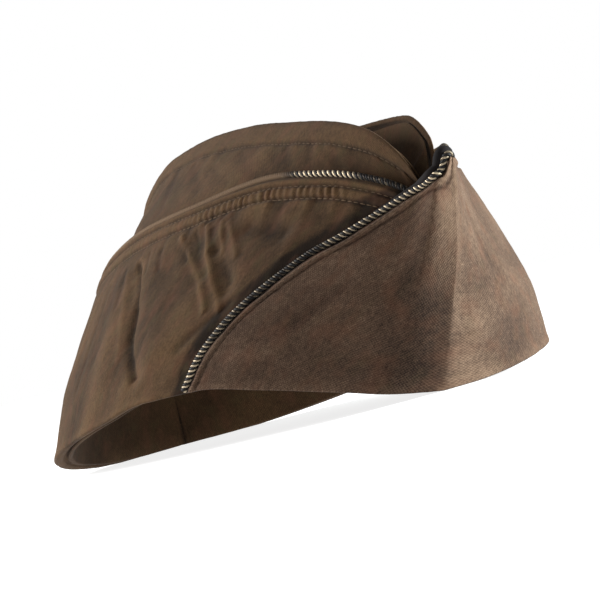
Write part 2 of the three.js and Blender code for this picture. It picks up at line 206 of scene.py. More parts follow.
LEFT_CREASES = [
    ([(20, 0.75), (26, 0.40)], -0.3, 2.4),
    ([(62, 0.80), (58, 0.45)], -0.5, 1.8),
    ([(70, 0.82), (66, 0.50)], -0.5, 1.6),
    ([(77, 0.82), (74, 0.40)], 0.4, 1.8),
    ([(88, 0.80), (84, 0.30)], -0.5, 2.0),
    ([(110, 0.75), (106, 0.35)], -0.35, 2.4),
    ([(132, 0.75), (135, 0.30)], 0.3, 2.6),
]
UPPER_STITCHES = 3.3  # rows of stitches on a curtain, below its top edge
LOWER_STITCHES = 8.0
HEM_DRIFT = 1.5  # how much nearer the edge those rows lie on the right curtain's rear
FLAP_STITCHES = 2.8  # row along the flap's edge
RIDGE_STITCHES = 7.2  # row on a crown panel, below its ridge
PUCKER_PITCH = 2.9
GATHER_DEPTH = 1.2  # of the right curtain's gathers, as a multiple of the table's
HEM_SEED = 11


# ---- reading the tables ----


def column(x, y):
    """A smooth curve through a table's column that never overshoots its rows."""
    x = np.asarray(x, float)
    y = np.asarray(y, float)
    slope = np.diff(y) / np.diff(x)
    before = slope[:-1]
    after = slope[1:]
    total = np.where(before + after == 0, 1, before + after)
    inner = np.where(before * after <= 0, 0, 2 * before * after / total)
    tangent = np.concatenate([slope[:1], inner, slope[-1:]])

    def read(at):
        p = np.clip(np.asarray(at, float), x[0], x[-1])
        i = np.clip(np.searchsorted(x, p, side="right") - 1, 0, len(x) - 2)
        span = x[i + 1] - x[i]
        t = (p - x[i]) / span
        s = 1 - t
        ends = y[i] * s * s * (1 + 2 * t) + y[i + 1] * t * t * (3 - 2 * t)
        return ends + tangent[i] * span * t * s * s - tangent[i + 1] * span * t * t * s

    return read


def table(names, rows):
    """Each named column of the table as a curve over its first column."""
    columns = list(zip(*rows))
    return {name: column(columns[0], values) for name, values in zip(names[1:], columns[1:])}


crown_levels = table(LEVEL_NAMES, CROWN_LEVELS)
curtain_levels = table(LEVEL_NAMES, CURTAIN_LEVELS)
heights = {RIGHT: table(HEIGHT_NAMES, RIGHT_HEIGHTS), LEFT: table(HEIGHT_NAMES, LEFT_HEIGHTS)}
flap_edge_turn = column(*zip(*FLAP_EDGE))

# ---- cloth surfaces ----


def wall_point(levels, side, turn, level, bottom, top, out):
    """The points at turns and levels, moved out by a distance square to the wall."""
    turn, level, bottom, top, out = np.broadcast_arrays(turn, level, bottom, top, out)
    angle = np.radians(turn)
    across = np.maximum(np.sin(angle), 0)
    along = np.cos(angle)
    low = np.maximum(level - LEVEL_STEP, 0)
    high = np.minimum(level + LEVEL_STEP, 1)
    inward = levels["width"](low) - levels["width"](high)
    slant = np.arctan2(inward, (top - bottom) * (high - low))
    grow = out * np.cos(slant)
    front = levels["front"](level) - grow * levels["fold"](level)
    rear = levels["rear"](level) + grow
    point = np.where(along > 0, levels["front_point"](level), levels["rear_point"](level))
    nose = np.where(along > 0, levels["nose"](level) * (1 - across) ** 3, 0)
    spread = np.tanh(CREASE_CRISPNESS * across)
    x = side * (levels["width"](level) * across**point + grow * spread)
    y = (front + rear) / 2 - (rear - front) / 2 * along - nose
    z = bottom + (top - bottom) * level + out * np.sin(slant) * level
    return np.stack([x, y, z], axis=-1)


def crown_point(side, turn, level, out):
    bottom = heights[side]["rim"](turn) + CROWN_FOOT
    return wall_point(crown_levels, side, turn, level, bottom, heights[side]["ridge"](turn), out)


def groove(distance, half):
    return np.exp(-((distance / half) ** 2))


def distance_to_fold(row, turn, level):
    """How far each point lies from the fold's line, in millimetres."""
    from_turn, from_level, to_turn, to_level = row[:4]
    run = np.array([(to_turn - from_turn) * MM_PER_TURN, (to_level - from_level) * MM_PER_LEVEL])
    x = (turn - from_turn) * MM_PER_TURN
    y = (level - from_level) * MM_PER_LEVEL
    share = np.clip((x * run[0] + y * run[1]) / (run @ run), 0, 1)
    return np.hypot(x - share * run[0], y - share * run[1])


def fold_depth(folds, turn, level):
    """Swells add up, and where valleys meet, the deepest one counts."""
    swell = np.zeros(np.broadcast(turn, level).shape)
    valley = swell
    for row in folds:
        distance = distance_to_fold(row, turn, level)
        depth = row[4] * groove(distance, row[5])
        swell = swell + np.maximum(depth, 0)
        valley = np.minimum(valley, depth)
    return swell + valley


def distance_to_line(line, turn, level):
    legs = [(*start, *end) for start, end in zip(line[:-1], line[1:])]
    return np.minimum.reduce([distance_to_fold(leg, turn, level) for leg in legs])


def crease_depth(creases, turn, level):
    """Creases with a softer swell of the other sign beside each: the strongest ones count."""
    swell = np.zeros(np.broadcast(turn, level).shape)
    valley = swell
    for line, full_depth, half in creases:
        distance = distance_to_line(line, turn, level)
        depth = full_depth * (groove(distance, half) - 0.4 * groove(distance, 2.2 * half))
        swell = np.maximum(swell, depth)
        valley = np.minimum(valley, depth)
    return swell + valley


def trimmed(share, rim, edge):
    """A share of a curtain's height, from its rim to its own top edge, as a level."""
    return share * (edge - rim) / (CURTAIN_TOP - rim)


def right_curtain_point(turn, share, out):
    rim = heights[RIGHT]["rim"](turn)
    level = trimmed(share, rim, heights[RIGHT]["edge"](turn))
    folds = fold_depth(RIGHT_CURTAIN_FOLDS, turn, share) + fold_depth(FRONT_FOLDS, turn, level)
    return wall_point(curtain_levels, RIGHT, turn, level, rim, CURTAIN_TOP, out + folds)


def smoothstep(x, low, high):
    t = np.clip((x - low) / (high - low), 0, 1)
    return t * t * (3 - 2 * t)


def left_curtain_point(signed_turn, share, out):
    """Negative turns are on the left side, positive ones are the flap's on the right."""
    signed_turn, share, out = np.broadcast_arrays(signed_turn, share, out)
    turn = np.abs(signed_turn)
    flap = signed_turn > 0
    rim = np.where(flap, heights[RIGHT]["rim"](turn), heights[LEFT]["rim"](turn))
    level = trimmed(share, rim, heights[LEFT]["edge"](turn))
    lift = FLAP_LIFT * smoothstep(signed_turn, FLAP_LIFT_START, FLAP_LIFT_END)
    flap_folds = fold_depth(FRONT_FOLDS, turn, level) + fold_depth(FLAP_FOLDS, turn, level)
    folds = np.where(flap, flap_folds, 0)
    side = np.where(flap, RIGHT, LEFT)
    return wall_point(curtain_levels, side, turn, level, rim, CURTAIN_TOP, out + lift + folds)


# The part's source centres the cap over its origin: the rearmost point says by how much.
REAR = right_curtain_point(180.0, np.linspace(0, 1, 201), CURTAIN_CLOTH)[:, 1].max()
CENTRING = np.array([0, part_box("curtain_right")[1].y / MM - REAR, 0])


# ---- noise and lengths over a grid ----


def lumps(u, v, pitch_u, pitch_v, seed):
    """Smooth random swells between -1 and 1 over two lengths in millimetres."""
    cells = 256
    values = np.random.default_rng(seed).uniform(-1, 1, (cells, cells))
    x = np.asarray(u) / pitch_u + cells
    y = np.asarray(v) / pitch_v + cells
    i, j = np.floor(x).astype(int), np.floor(y).astype(int)
    s, t = smoothstep(x - i, 0, 1), smoothstep(y - j, 0, 1)

    def corner(a, b):
        return values[(i + a) % cells, (j + b) % cells]

    low = corner(0, 0) * (1 - s) + corner(1, 0) * s
    high = corner(0, 1) * (1 - s) + corner(1, 1) * s
    return low * (1 - t) + high * t


def unit(vectors):
    return vectors / np.linalg.norm(vectors, axis=-1, keepdims=True)


def run_along(points, axis):
    """Distance run along one axis of a grid of points, starting at 0."""
    steps = np.linalg.norm(np.diff(points, axis=axis), axis=-1)
    start = np.zeros_like(np.take(steps, [0], axis=axis))
    return np.concatenate([start, np.cumsum(steps, axis=axis)], axis=axis)


def band(distance, low, high, soft):
    """1 between two distances, falling to 0 over a soft edge."""
    return smoothstep(distance, low - soft, low + soft) * (1 - smoothstep(distance, high - soft, high + soft))


# ---- meshes ----

EDGE_ARC = np.radians([22, 52, 78])  # points of the rounded edge between a wall's two faces
EDGE_BULGE = 0.5  # of half the cloth's thickness, how far that rounding stands out
TUBE_END = 0.55  # of a tube's radius, what it has left at its two ends


def add_object(name, data):
    made = bpy.data.objects.new(name, data)
    bpy.context.scene.collection.objects.link(made)
    return made


def new_mesh(name, points, faces, material, floats=None, uv=None):
    """A smooth-shaded piece of the object from points in millimetres in the tables' frame."""
    mesh = bpy.data.meshes.new(name)
    mesh.from_pydata(((points + CENTRING) * MM).tolist(), [], faces)
    mesh.shade_smooth()
    for key, values in (floats or {}).items():
        attribute = mesh.attributes.new(key, "FLOAT", "POINT")
        attribute.data.foreach_set("value", np.asarray(values, np.float32))
    if uv is not None:
        layer = mesh.uv_layers.new(name="cloth")
        corner_vertex = np.empty(len(mesh.loops), np.int32)
        mesh.loops.foreach_get("vertex_index", corner_vertex)
        layer.data.foreach_set("uv", uv[corner_vertex].astype(np.float32).ravel())
    mesh.materials.append(material)
    mesh.validate()
    piece = add_object(name, mesh)
    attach(piece, "root")
    return piece


def closer_above(start, bend, below, above):
    """Shares from a start to 1, closer together above the bend."""
    return np.concatenate([np.linspace(start, bend, below, endpoint=False), np.linspace(bend, 1, above)])


def edge_arc(outer, inner, beyond):
    """Two half arcs between the faces' edge rows, bulging away from the cloth."""
    middle = (outer + inner) / 2
    half = outer - middle
    size = np.linalg.norm(half, axis=-1, keepdims=True)
    away = beyond - half * np.sum(beyond * half, axis=-1, keepdims=True) / size**2
    away = unit(away)

    def half_arc(toward):
        return [middle + toward * np.cos(a) + away * size * EDGE_BULGE * np.sin(a) for a in EDGE_ARC]

    return half_arc(half), half_arc(-half)[::-1]


def cloth_wall(name, outer, inner, material, floats, lengths):
    """A closed wall between two grids of points (rows up, columns along), with round edges.

    floats holds grids of values for the outer face and lengths is a grid of distances along and
    up the cloth, in millimetres, which the weave follows."""
    rows, columns = outer.shape[:2]
    top_outer, top_inner = edge_arc(outer[-1], inner[-1], outer[-1] - outer[-2])
    low_outer, low_inner = edge_arc(outer[0], inner[0], outer[0] - outer[1])
    arc = len(EDGE_ARC)
    ring = [*low_outer[::-1], *outer, *top_outer, *top_inner, *inner[::-1], *low_inner[::-1]]
    ring = np.stack(ring)
    count = len(ring)
    row_of = [0] * arc + list(range(rows)) + [rows - 1] * (2 * arc)
    row_of = np.array(row_of + list(range(rows))[::-1] + [0] * arc)
    index = np.arange(count * columns).reshape(count, columns)
    following = np.roll(index, -1, axis=0)
    quads = np.stack([index[:, :-1], index[:, 1:], following[:, 1:], following[:, :-1]], axis=-1)
    faces = quads.reshape(-1, 4).tolist()
    half = count // 2
    for k in range(half - 1):
        faces.append([index[k, 0], index[k + 1, 0], index[count - 2 - k, 0], index[count - 1 - k, 0]])
        faces.append([index[count - 1 - k, -1], index[count - 2 - k, -1], index[k + 1, -1], index[k, -1]])
    points = ring.reshape(-1, 3)
    if signed_volume(points, faces) < 0:
        faces = [face[::-1] for face in faces]
    spread = {key: grid[row_of].reshape(-1) for key, grid in floats.items()}
    uv = lengths[row_of].reshape(-1, 2) * MM
    return new_mesh(name, points, faces, material, spread, uv)


def signed_volume(points, faces):
    corners = np.array(faces)
    a, b, c, d = (points[corners[:, k]] for k in range(4))
    return np.sum(a * np.cross(b, c)) + np.sum(a * np.cross(c, d))


def tubes(routes, radius, sides):
    """Closed round tubes along several routes: points, quads and the run along each, in mm."""
    points, faces, runs = [], [], []
    first = 0
    for route in routes:
        count = len(route)
        normal, binormal = frames(route)
        angle = 2 * np.pi * np.arange(sides) / sides
        circle = np.cos(angle)[:, None, None] * normal + np.sin(angle)[:, None, None] * binormal
        reach = np.ones(count) * radius
        reach[[0, -1]] *= TUBE_END
        skin = route + circle * reach[None, :, None]
        index = first + np.arange(sides * count).reshape(sides, count)
        around = np.roll(index, -1, axis=0)
        quads = np.stack([index[:, :-1], index[:, 1:], around[:, 1:], around[:, :-1]], axis=-1)
        faces += quads.reshape(-1, 4).tolist()
        faces.append(index[:, 0][::-1].tolist())
        faces.append(index[:, -1].tolist())
        points.append(skin.reshape(-1, 3))
        run = run_along(route, 0)
        runs.append(np.tile(run, sides))
        first += sides * count
    return np.concatenate(points), [face[::-1] for face in faces], np.concatenate(runs)


def frames(route):
    """Two directions square to a route, which don't twist along it."""
    tangent = unit(np.gradient(route, axis=0))
    start = np.array([0.0, 0.0, 1.0]) if abs(tangent[0, 2]) < 0.9 else np.array([1.0, 0.0, 0.0])
    normal = np.empty_like(tangent)
    carried = start
    for i, along in enumerate(tangent):
        carried = carried - along * (carried @ along)
        carried = carried / np.linalg.norm(carried)
        normal[i] = carried
    return normal, np.cross(tangent, normal)


def resampled(route, step):
    """The same route with points a step apart, on a smooth curve."""
    run = run_along(route, 0)
    count = int(run[-1] / step) + 1
    at = np.linspace(0, run[-1], count)
    return np.stack([column(run, route[:, k])(at) for k in range(3)], axis=-1)


# ---- curtains ----

SEAM_OVERLAP = 0.04  # how far past the middle plane a cloth runs, so that the seam is closed
RIM_SEAM_REACH = 3.0  # across the gap between curtain and crown, into the crown's wall
RIM_SHARE = 0.009  # first row, so that the rounded rim ends about on the rim
FLAP_EDGE_RUN = 90  # taken as the length of the flap's slanting edge
FAR_FROM_EDGE = 60  # stands for no flap edge near
LIMIT = 1.15  # the fine relief never goes deeper into a cloth than this


def wall_lengths(point_at, turns):
    """The wall's height and the runs along its upper edge and its middle, as curves over turn."""
    shares = np.linspace(0, 1, 60)[:, None]
    points = point_at(turns[None, :], shares, CURTAIN_CLOTH)
    tall = run_along(points, 0)[-1]
    edge = run_along(points[-1], 0)
    middle = run_along(points[len(shares) // 2], 0)
    return [lambda turn, values=values: np.interp(turn, turns, values) for values in (tall, edge, middle)]


SURVEY_RIGHT = np.linspace(RIGHT_CURTAIN_START, 180, 400)
SURVEY_LEFT = np.linspace(-180, 51, 500)
right_tall, right_edge_run, right_run = wall_lengths(right_curtain_point, SURVEY_RIGHT)
left_tall, left_edge_run, left_run = wall_lengths(left_curtain_point, SURVEY_LEFT)


def to_seam(points, side):
    """Ends a cloth just past the middle plane."""
    across = points[..., 0] * side
    points[..., 0] = side * np.where(across < SEAM_OVERLAP, -SEAM_OVERLAP, across)
    return points


def hem_relief(below, run, puckered, seed):
    """The sewn hem along a curtain's edge: two rows of stitches, the swell between, puckers."""
    swell = 0.35 * band(below, 0.8, UPPER_STITCHES - 0.6, 0.6)
    swell += 0.38 * band(below, UPPER_STITCHES + 0.7, LOWER_STITCHES - 0.7, 0.8)
    rows = 0.48 * groove(below - UPPER_STITCHES, 0.65) + 0.55 * groove(below - LOWER_STITCHES, 0.75)
    rows += 0.45 * groove(below - 0.2, 0.6)
    pucker = pucker_wave(below, run, seed)
    strength = 0.08 + 0.26 * puckered
    between = band(below, UPPER_STITCHES + 0.4, LOWER_STITCHES - 0.2, 0.5)
    hanging = np.exp(-np.maximum(below - LOWER_STITCHES, 0) / 7)
    hanging = hanging * smoothstep(below, LOWER_STITCHES - 0.5, LOWER_STITCHES + 1)
    gather = lumps(run + 0.12 * below, below, 3.4, 60, seed + 1)
    return swell - rows + strength * pucker * between + (0.2 + 0.45 * puckered) * gather * hanging


def pucker_wave(below, run, seed):
    wander = run + 0.35 * below + 1.3 * lumps(run, below, 7, 30, seed)
    uneven = 0.62 + 0.38 * lumps(run, below, 2.6, 9, seed + 5)
    return np.sin(2 * np.pi * wander / PUCKER_PITCH) * uneven


def pucker_share(turn):
    """Where along the right curtain the hem is drawn up."""
    return smoothstep(turn, 40, 47) * (1 - smoothstep(turn, 70, 86))


def hem_drift(turn):
    return HEM_DRIFT * smoothstep(turn, 62, 85)


def below_edge(turn, share):
    """Distance down the right curtain from its edge, as its rows of stitches follow it."""
    return (1 - share) * right_tall(turn) + hem_drift(turn)


def hem_pucker_shade(turn, share):
    """Painted shade in the valleys between the puckers of the right curtain's hem."""
    below = below_edge(turn, share)
    valley = smoothstep(-pucker_wave(below, right_edge_run(turn), HEM_SEED), 0.25, 0.85)
    between = band(below, UPPER_STITCHES + 0.9, LOWER_STITCHES - 0.6, 0.6)
    return 0.6 * valley * between * smoothstep(turn, 44, 62) * (1 - smoothstep(turn, 68, 78))


def right_relief(turn, share):
    below = below_edge(turn, share)
    run = right_edge_run(turn)
    relief = hem_relief(below, run, pucker_share(turn), HEM_SEED)
    relief += GATHER_DEPTH * crease_depth(RIGHT_GATHERS, turn, share)
    inside = smoothstep(below, 10, 16)
    relief += inside * (0.45 * lumps(run, below, 17, 24, 21) + 0.16 * lumps(run, below, 6, 9, 22))
    relief += 0.05 * lumps(run, below, 1.7, 2.1, 23)
    relief -= 0.8 * groove((180 - turn) * MM_PER_TURN, 1.3)
    return np.maximum(relief + rim_roll(share, right_tall(turn)), -LIMIT)


def rim_roll(share, tall):
    return 0.25 * groove(share * tall - 1.5, 1.6)


def rim_seam(turn, share, tall):
    """How far a curtain's inner face reaches in just above the rim, where it is sewn to the crown."""
    beside_crown = smoothstep(np.abs(turn), 12, 18)
    return -RIM_SEAM_REACH * groove(share * tall - 3.5, 2.4) * beside_crown


def left_relief(signed_turn, share):
    turn = np.abs(signed_turn)
    flap = smoothstep(signed_turn, -2, 2)
    below = (1 - share) * left_tall(signed_turn)
    run = left_edge_run(signed_turn)
    off_edge = flap_margin(signed_turn, share)
    along_edge = share * FLAP_EDGE_RUN
    hem = hem_relief(below, run, 0.35 + 0 * turn, 31) * smoothstep(turn, 25, 50)
    margin = 0.30 * band(off_edge, 0.9, FLAP_STITCHES - 0.5, 0.5)
    margin -= 0.38 * groove(off_edge - FLAP_STITCHES, 0.7)
    margin -= 0.7 * groove(off_edge - 0.1, 0.6)
    margin += 0.10 * np.sin(2 * np.pi * along_edge / 2.3) * groove(off_edge - 2.2, 1.6)
    margin += 0.3 * lumps(along_edge, off_edge, 4.5, 60, 33) * np.exp(-np.maximum(off_edge, 0) / 5)
    relief = (1 - flap) * (hem + crease_depth(LEFT_CREASES, turn, share))
    relief += flap * (margin + crease_depth(FLAP_CREASES, turn, share))
    clear = smoothstep(np.where(signed_turn > 0, off_edge, below), 6, 14)
    relief += clear * (0.28 * lumps(left_run(signed_turn), below, 19, 26, 41))
    relief += clear * (0.12 * lumps(left_run(signed_turn), below, 6, 8, 42))
    relief += 0.06 * lumps(left_run(signed_turn), below, 1.5, 1.9, 43)
    relief -= 0.8 * groove((180 + signed_turn) * MM_PER_TURN, 1.3)
    return np.maximum(relief + rim_roll(share, left_tall(signed_turn)), -LIMIT)


def flap_margin(signed_turn, share):
    """Distance from the flap's slanting edge, square to it, in millimetres; large elsewhere."""
    width = (flap_edge_turn(share) - signed_turn) * MM_PER_TURN
    turned = flap_edge_turn(share + LEVEL_STEP) - flap_edge_turn(share - LEVEL_STEP)
    slope = turned * MM_PER_TURN / (2 * LEVEL_STEP * MM_PER_LEVEL)
    return np.where(signed_turn > -3, width / np.hypot(1, slope), FAR_FROM_EDGE)


def fold_shade(signed_turn, share):
    """Painted shade on the flap's cloth, beside the lower front crease."""
    beside = groove(signed_turn - 8, 15) * smoothstep(signed_turn, -1.5, 2.5)
    return 0.40 * beside * (1 - smoothstep(share, 0.35, 0.65))


def painted_crease_highlight(signed_turn, share):
    """Painted highlight along the front crease: on both its sides above, on one below."""
    high = smoothstep(share, 0.25, 0.5)
    on_left = 1 - smoothstep(signed_turn, -1.5, 2.0)
    return 0.8 * groove(signed_turn + 6 - 9 * high, 9) * (on_left + (1 - on_left) * high)


def flap_shadow(turn, share):
    """Painted shadow on the right curtain, in a band of uneven width beside the flap's edge."""
    rim = heights[RIGHT]["rim"](turn)
    on_flap = share * (heights[RIGHT]["edge"](turn) - rim) / (heights[LEFT]["edge"](turn) - rim)
    beyond = -flap_margin(turn, on_flap)
    reach = 6.4 + 2.8 * groove(share - 0.38, 0.22) + 1.0 * lumps(share * FLAP_EDGE_RUN, 0 * share, 7, 60, 91)
    return 0.9 * (1 - smoothstep(beyond, reach - 1.2, reach + 1.8))


def shade_grids(relief, pucker_valley_shade=0.0, painted_shade=0.0, painted_highlight=0.0):
    """How far each point is darkened by painted shade, in a crease or where given, lightened on a crest (wear
    and painted highlight) or by a painted highlight, and shaded in a pucker valley.
    """
    return {
        "crease": np.clip(np.maximum(-relief / 1.2, 0) + painted_shade, 0, 1),
        "crest": np.clip(relief / 0.9 + painted_highlight, 0, 1),
        "pucker_valley_shade": pucker_valley_shade + 0 * relief,
    }


def curtain_right(material):
    coarse_start = np.linspace(RIGHT_CURTAIN_START, 40, 44, endpoint=False)
    fine = np.linspace(40, 102, 250, endpoint=False)
    turns = np.concatenate([coarse_start, fine, np.linspace(102, 176, 96), [177.2, 178.2, 179, 179.6, 180]])
    shares = closer_above(RIM_SHARE, 0.74, 62, 40)
    turn, share = np.meshgrid(turns, shares)
    relief = right_relief(turn, share)
    outer = to_seam(right_curtain_point(turn, share, CURTAIN_CLOTH + relief), RIGHT)
    inner = to_seam(right_curtain_point(turn, share, rim_seam(turn, share, right_tall(turn))), RIGHT)
    lengths = np.stack([right_run(turn), share * right_tall(turn)], axis=-1)
    piece = cloth_wall(
        "curtain_right_cloth", outer, inner, material,
        # Painted shade in the hem's pucker valleys and a painted shadow beside the flap's edge.
        shade_grids(relief, hem_pucker_shade(turn, share), flap_shadow(turn, share)), lengths,
    )
    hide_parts("curtain_right")


def curtain_left(material):
    rear = np.concatenate([[-180, -179.6, -179, -178.2, -177.2], np.linspace(-176, -30, 170)])
    front = np.linspace(-29.4, 0, 60)
    flap_shares = np.linspace(0, 1, 150)[1:]
    shares = closer_above(RIM_SHARE, 0.74, 46, 40)
    rows = [np.concatenate([rear, front, flap_shares * flap_edge_turn(share)]) for share in shares]
    turn = np.stack(rows)
    share = np.broadcast_to(shares[:, None], turn.shape)
    relief = left_relief(turn, share)
    outer = left_curtain_point(turn, share, CURTAIN_CLOTH + relief)
    beside_crown = np.where(turn < 0, rim_seam(turn, share, left_tall(turn)), 0)
    inner = left_curtain_point(turn, share, beside_crown)
    behind = turn < -90
    for face in (outer, inner):
        face[behind] = to_seam(face[behind], LEFT)
    lengths = np.stack([left_run(turn), share * left_tall(turn)], axis=-1)
    piece = cloth_wall(
        "curtain_left_cloth", outer, inner, material,
        # Painted shade beside the lower front crease, and a painted highlight along the crease.
        shade_grids(relief, 0.0, fold_shade(turn, share), painted_crease_highlight(turn, share)), lengths,
    )
    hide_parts("curtain_left")


# ---- crown ----

CROWN_LIMIT = 0.9  # as LIMIT, for the crown's thinner cloth
CROWN_SEEDS = {RIGHT: 51, LEFT: 61}
LEFT_CREASING = 0.7  # of the right panel's creases, how deep the left panel's are
STRIP_WEAVE_REACH = 14  # run of the weave from the top strip's middle to its edge


def crown_tall(side):
    turns = np.linspace(0, 180, 300)
    points = crown_point(side, turns[None, :], np.linspace(0, 1, 80)[:, None], 0)
    tall = run_along(points, 0)[-1]
    return lambda turn: np.interp(turn, turns, tall)


CROWN_TALL = {side: crown_tall(side) for side in (RIGHT, LEFT)}


def crown_run(turn):
    return turn * MM_PER_TURN


def crown_relief(side, turn, level):
    below = (1 - level) * CROWN_TALL[side](turn)
    seed = CROWN_SEEDS[side]
    run = crown_run(turn)
    relief = 0.25 * band(below, 0.8, RIDGE_STITCHES - 0.7, 0.8) - 0.5 * groove(below - RIDGE_STITCHES, 0.75)
    hanging = np.exp(-np.maximum(below - RIDGE_STITCHES, 0) / 6) * smoothstep(below, 6, 8)
    relief += 0.45 * lumps(run + 0.3 * below, below, 3.8, 60, seed) * hanging
    relief += crease_depth(CROWN_CREASES, turn, level) * (1 if side == RIGHT else LEFT_CREASING)
    relief += 0.35 * lumps(run, below, 16, 18, seed + 1) * smoothstep(below, 8, 14)
    relief += 0.05 * lumps(run, below, 1.6, 2.0, seed + 2)
    seam = np.minimum(turn, 180 - turn) * MM_PER_TURN
    return np.maximum(relief - 0.7 * groove(seam, 1.2), -CROWN_LIMIT)


def crown_panel(name, side, material):
    turns = np.concatenate([[0, 0.5, 1.2, 2.2, 3.5], np.linspace(5, 175, 270), [176.5, 178, 179, 179.6, 180]])
    levels = closer_above(0, 0.66, 24, 56)
    turn, level = np.meshgrid(turns, levels)
    relief = crown_relief(side, turn, level)
    outer = to_seam(crown_point(side, turn, level, relief), side)
    inner = to_seam(crown_point(side, turn, level, -CROWN_CLOTH), side)
    lengths = np.stack([crown_run(turn), level * CROWN_TALL[side](turn)], axis=-1)
    piece = cloth_wall(
        name + "_cloth", outer, inner, material, shade_grids(relief), lengths
    )
    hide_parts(name)


def strip_point(turn, across, upper):
    """The top strip: its edges hang from the ridges and its middle is folded down."""

    def ridge_middle(at):
        return (crown_point(RIGHT, at, 1.0, 0.0) + crown_point(LEFT, at, 1.0, 0.0)) / 2

    along = ridge_middle(turn + 1) - ridge_middle(turn - 1)
    down = np.stack([0 * turn, along[..., 2], -along[..., 1]], axis=-1)
    down = unit(down)
    right = crown_point(RIGHT, turn, 1.0, 0.0)
    left = crown_point(LEFT, turn, 1.0, 0.0)
    bow = np.sin(np.radians(turn))
    half = np.maximum(left[..., 0] - STRIP_INSET + STRIP_TUCK * bow**2, 0.4)
    share = ((across + 1) / 2)[..., None]
    point = right * (1 - share) + left * share
    point[..., 0] = half * across
    valley = VALLEY_DEPTH * bow**VALLEY_ENDS * (1 - np.abs(across) ** VALLEY_SECTION)
    thickness = STRIP_CLOTH + STRIP_TURNING * np.sqrt(np.abs(across))
    sink = STRIP_SINK + STRIP_TUCK * bow**2 + valley
    sink += 0.5 * lumps(crown_run(turn), across * 9, 14, 6, 71) * (1 - across**2)
    turned_in = SEAM_TURNING * smoothstep(turn, 174, 179) * (1 - upper)
    return point + down * (sink + turned_in - thickness * upper)[..., None]


def crown_top(material):
    turn, across = np.meshgrid(np.linspace(2.5, 179.8, 268), np.linspace(-1, 1, 42))
    outer = strip_point(turn, across, 1)
    inner = strip_point(turn, across, 0)
    lengths = np.stack([crown_run(turn), across * STRIP_WEAVE_REACH], axis=-1)
    flat = np.zeros(turn.shape)
    piece = cloth_wall(
        "crown_top_cloth", outer, inner, material, shade_grids(flat), lengths
    )
    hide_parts("crown_top")


# ---- stitches ----

STITCH_START = 0.6  # from the start of a row to its first stitch
STITCH_PITCH = 2.3
STITCH_LENGTH = 2.05
STITCH_RADIUS = 0.22
STITCH_SIDES = 6
STITCH_RINGS = ((0.0, 0.35), (0.14, 0.85), (0.5, 1.0), (0.86, 0.85), (1.0, 0.35))


def stitch_row(name, face, turn, share, material):
    """A row of stitches over a cloth's face as one mesh: each dips in at both of its ends."""
    point_at, relief_at, cloth = face
    route = point_at(turn, share, cloth + relief_at(turn, share))
    outward = unit(point_at(turn, share, cloth + 1.0) - point_at(turn, share, cloth))
    run = run_along(route, 0)
    starts = np.arange(STITCH_START, run[-1] - STITCH_LENGTH, STITCH_PITCH)
    reader = [column(run, route[:, k]) for k in range(3)]
    lift = [column(run, outward[:, k]) for k in range(3)]
    points, faces = [], []
    angle = 2 * np.pi * np.arange(STITCH_SIDES) / STITCH_SIDES
    for start in starts:
        first = len(points) * STITCH_SIDES
        for share, size in STITCH_RINGS:
            at = start + share * STITCH_LENGTH
            centre = np.array([read(at) for read in reader])
            ahead = np.array([read(at + 0.1) for read in reader]) - centre
            up = np.array([read(at) for read in lift])
            side = np.cross(ahead / np.linalg.norm(ahead), up)
            dip = STITCH_RADIUS * (0.75 * (2 * share - 1) ** 2 - 0.15)
            ring = np.cos(angle)[:, None] * up + np.sin(angle)[:, None] * side
            points.append(centre - up * dip + ring * STITCH_RADIUS * size)
        for r in range(len(STITCH_RINGS) - 1):
            for k in range(STITCH_SIDES):
                a = first + r * STITCH_SIDES + k
                b = first + r * STITCH_SIDES + (k + 1) % STITCH_SIDES
                faces.append([a, b, b + STITCH_SIDES, a + STITCH_SIDES])
        last = first + (len(STITCH_RINGS) - 1) * STITCH_SIDES
        faces.append([first + k for k in reversed(range(STITCH_SIDES))])
        faces.append([last + k for k in range(STITCH_SIDES)])
    return new_mesh(name, np.concatenate(points), faces, material)


# Outer faces: a cloth's points, its fine relief, and how far out the face lies.
RIGHT_FACE = (right_curtain_point, right_relief, CURTAIN_CLOTH)
LEFT_FACE = (left_curtain_point, left_relief, CURTAIN_CLOTH)


def hem_stitches(material):
    for row, below in (("upper", UPPER_STITCHES), ("lower", LOWER_STITCHES)):
        turn = np.linspace(RIGHT_CURTAIN_START + 8, 178.6, 700)
        share = 1 - (below - hem_drift(turn)) / right_tall(turn)
        stitch_row(f"hem_stitches_right_{row}", RIGHT_FACE, turn, share, material)
        turn = np.linspace(-178.6, -42, 620)
        share = 1 - below / left_tall(turn)
        stitch_row(f"hem_stitches_left_{row}", LEFT_FACE, turn, share, material)


def flap_stitches(material):
    share = np.linspace(0.04, 0.93, 500)
    turn = flap_edge_turn(share) - FLAP_STITCHES / MM_PER_TURN
    stitch_row("flap_stitches", LEFT_FACE, turn, share, material)


def ridge_stitches(material):
    for name, side in (("right", RIGHT), ("left", LEFT)):
        turn = np.linspace(10, 172, 700)
        level = 1 - RIDGE_STITCHES / CROWN_TALL[side](turn)
        face = (partial(crown_point, side), partial(crown_relief, side), 0.0)
        stitch_row(f"ridge_stitches_{name}", face, turn, level, material)


# ---- piping ----

STRANDS = 4  # bright and dark ones in turn
CORD_LAY = 3.9  # run of the cord in which a strand goes once round
BRIGHT_RADIUS = 0.38
DARK_RADIUS = 0.55
STRAND_STEP = 0.28
STRAND_SIDES = 8
CORD_REACH = 1.35  # from a free edge to the middle of its piping


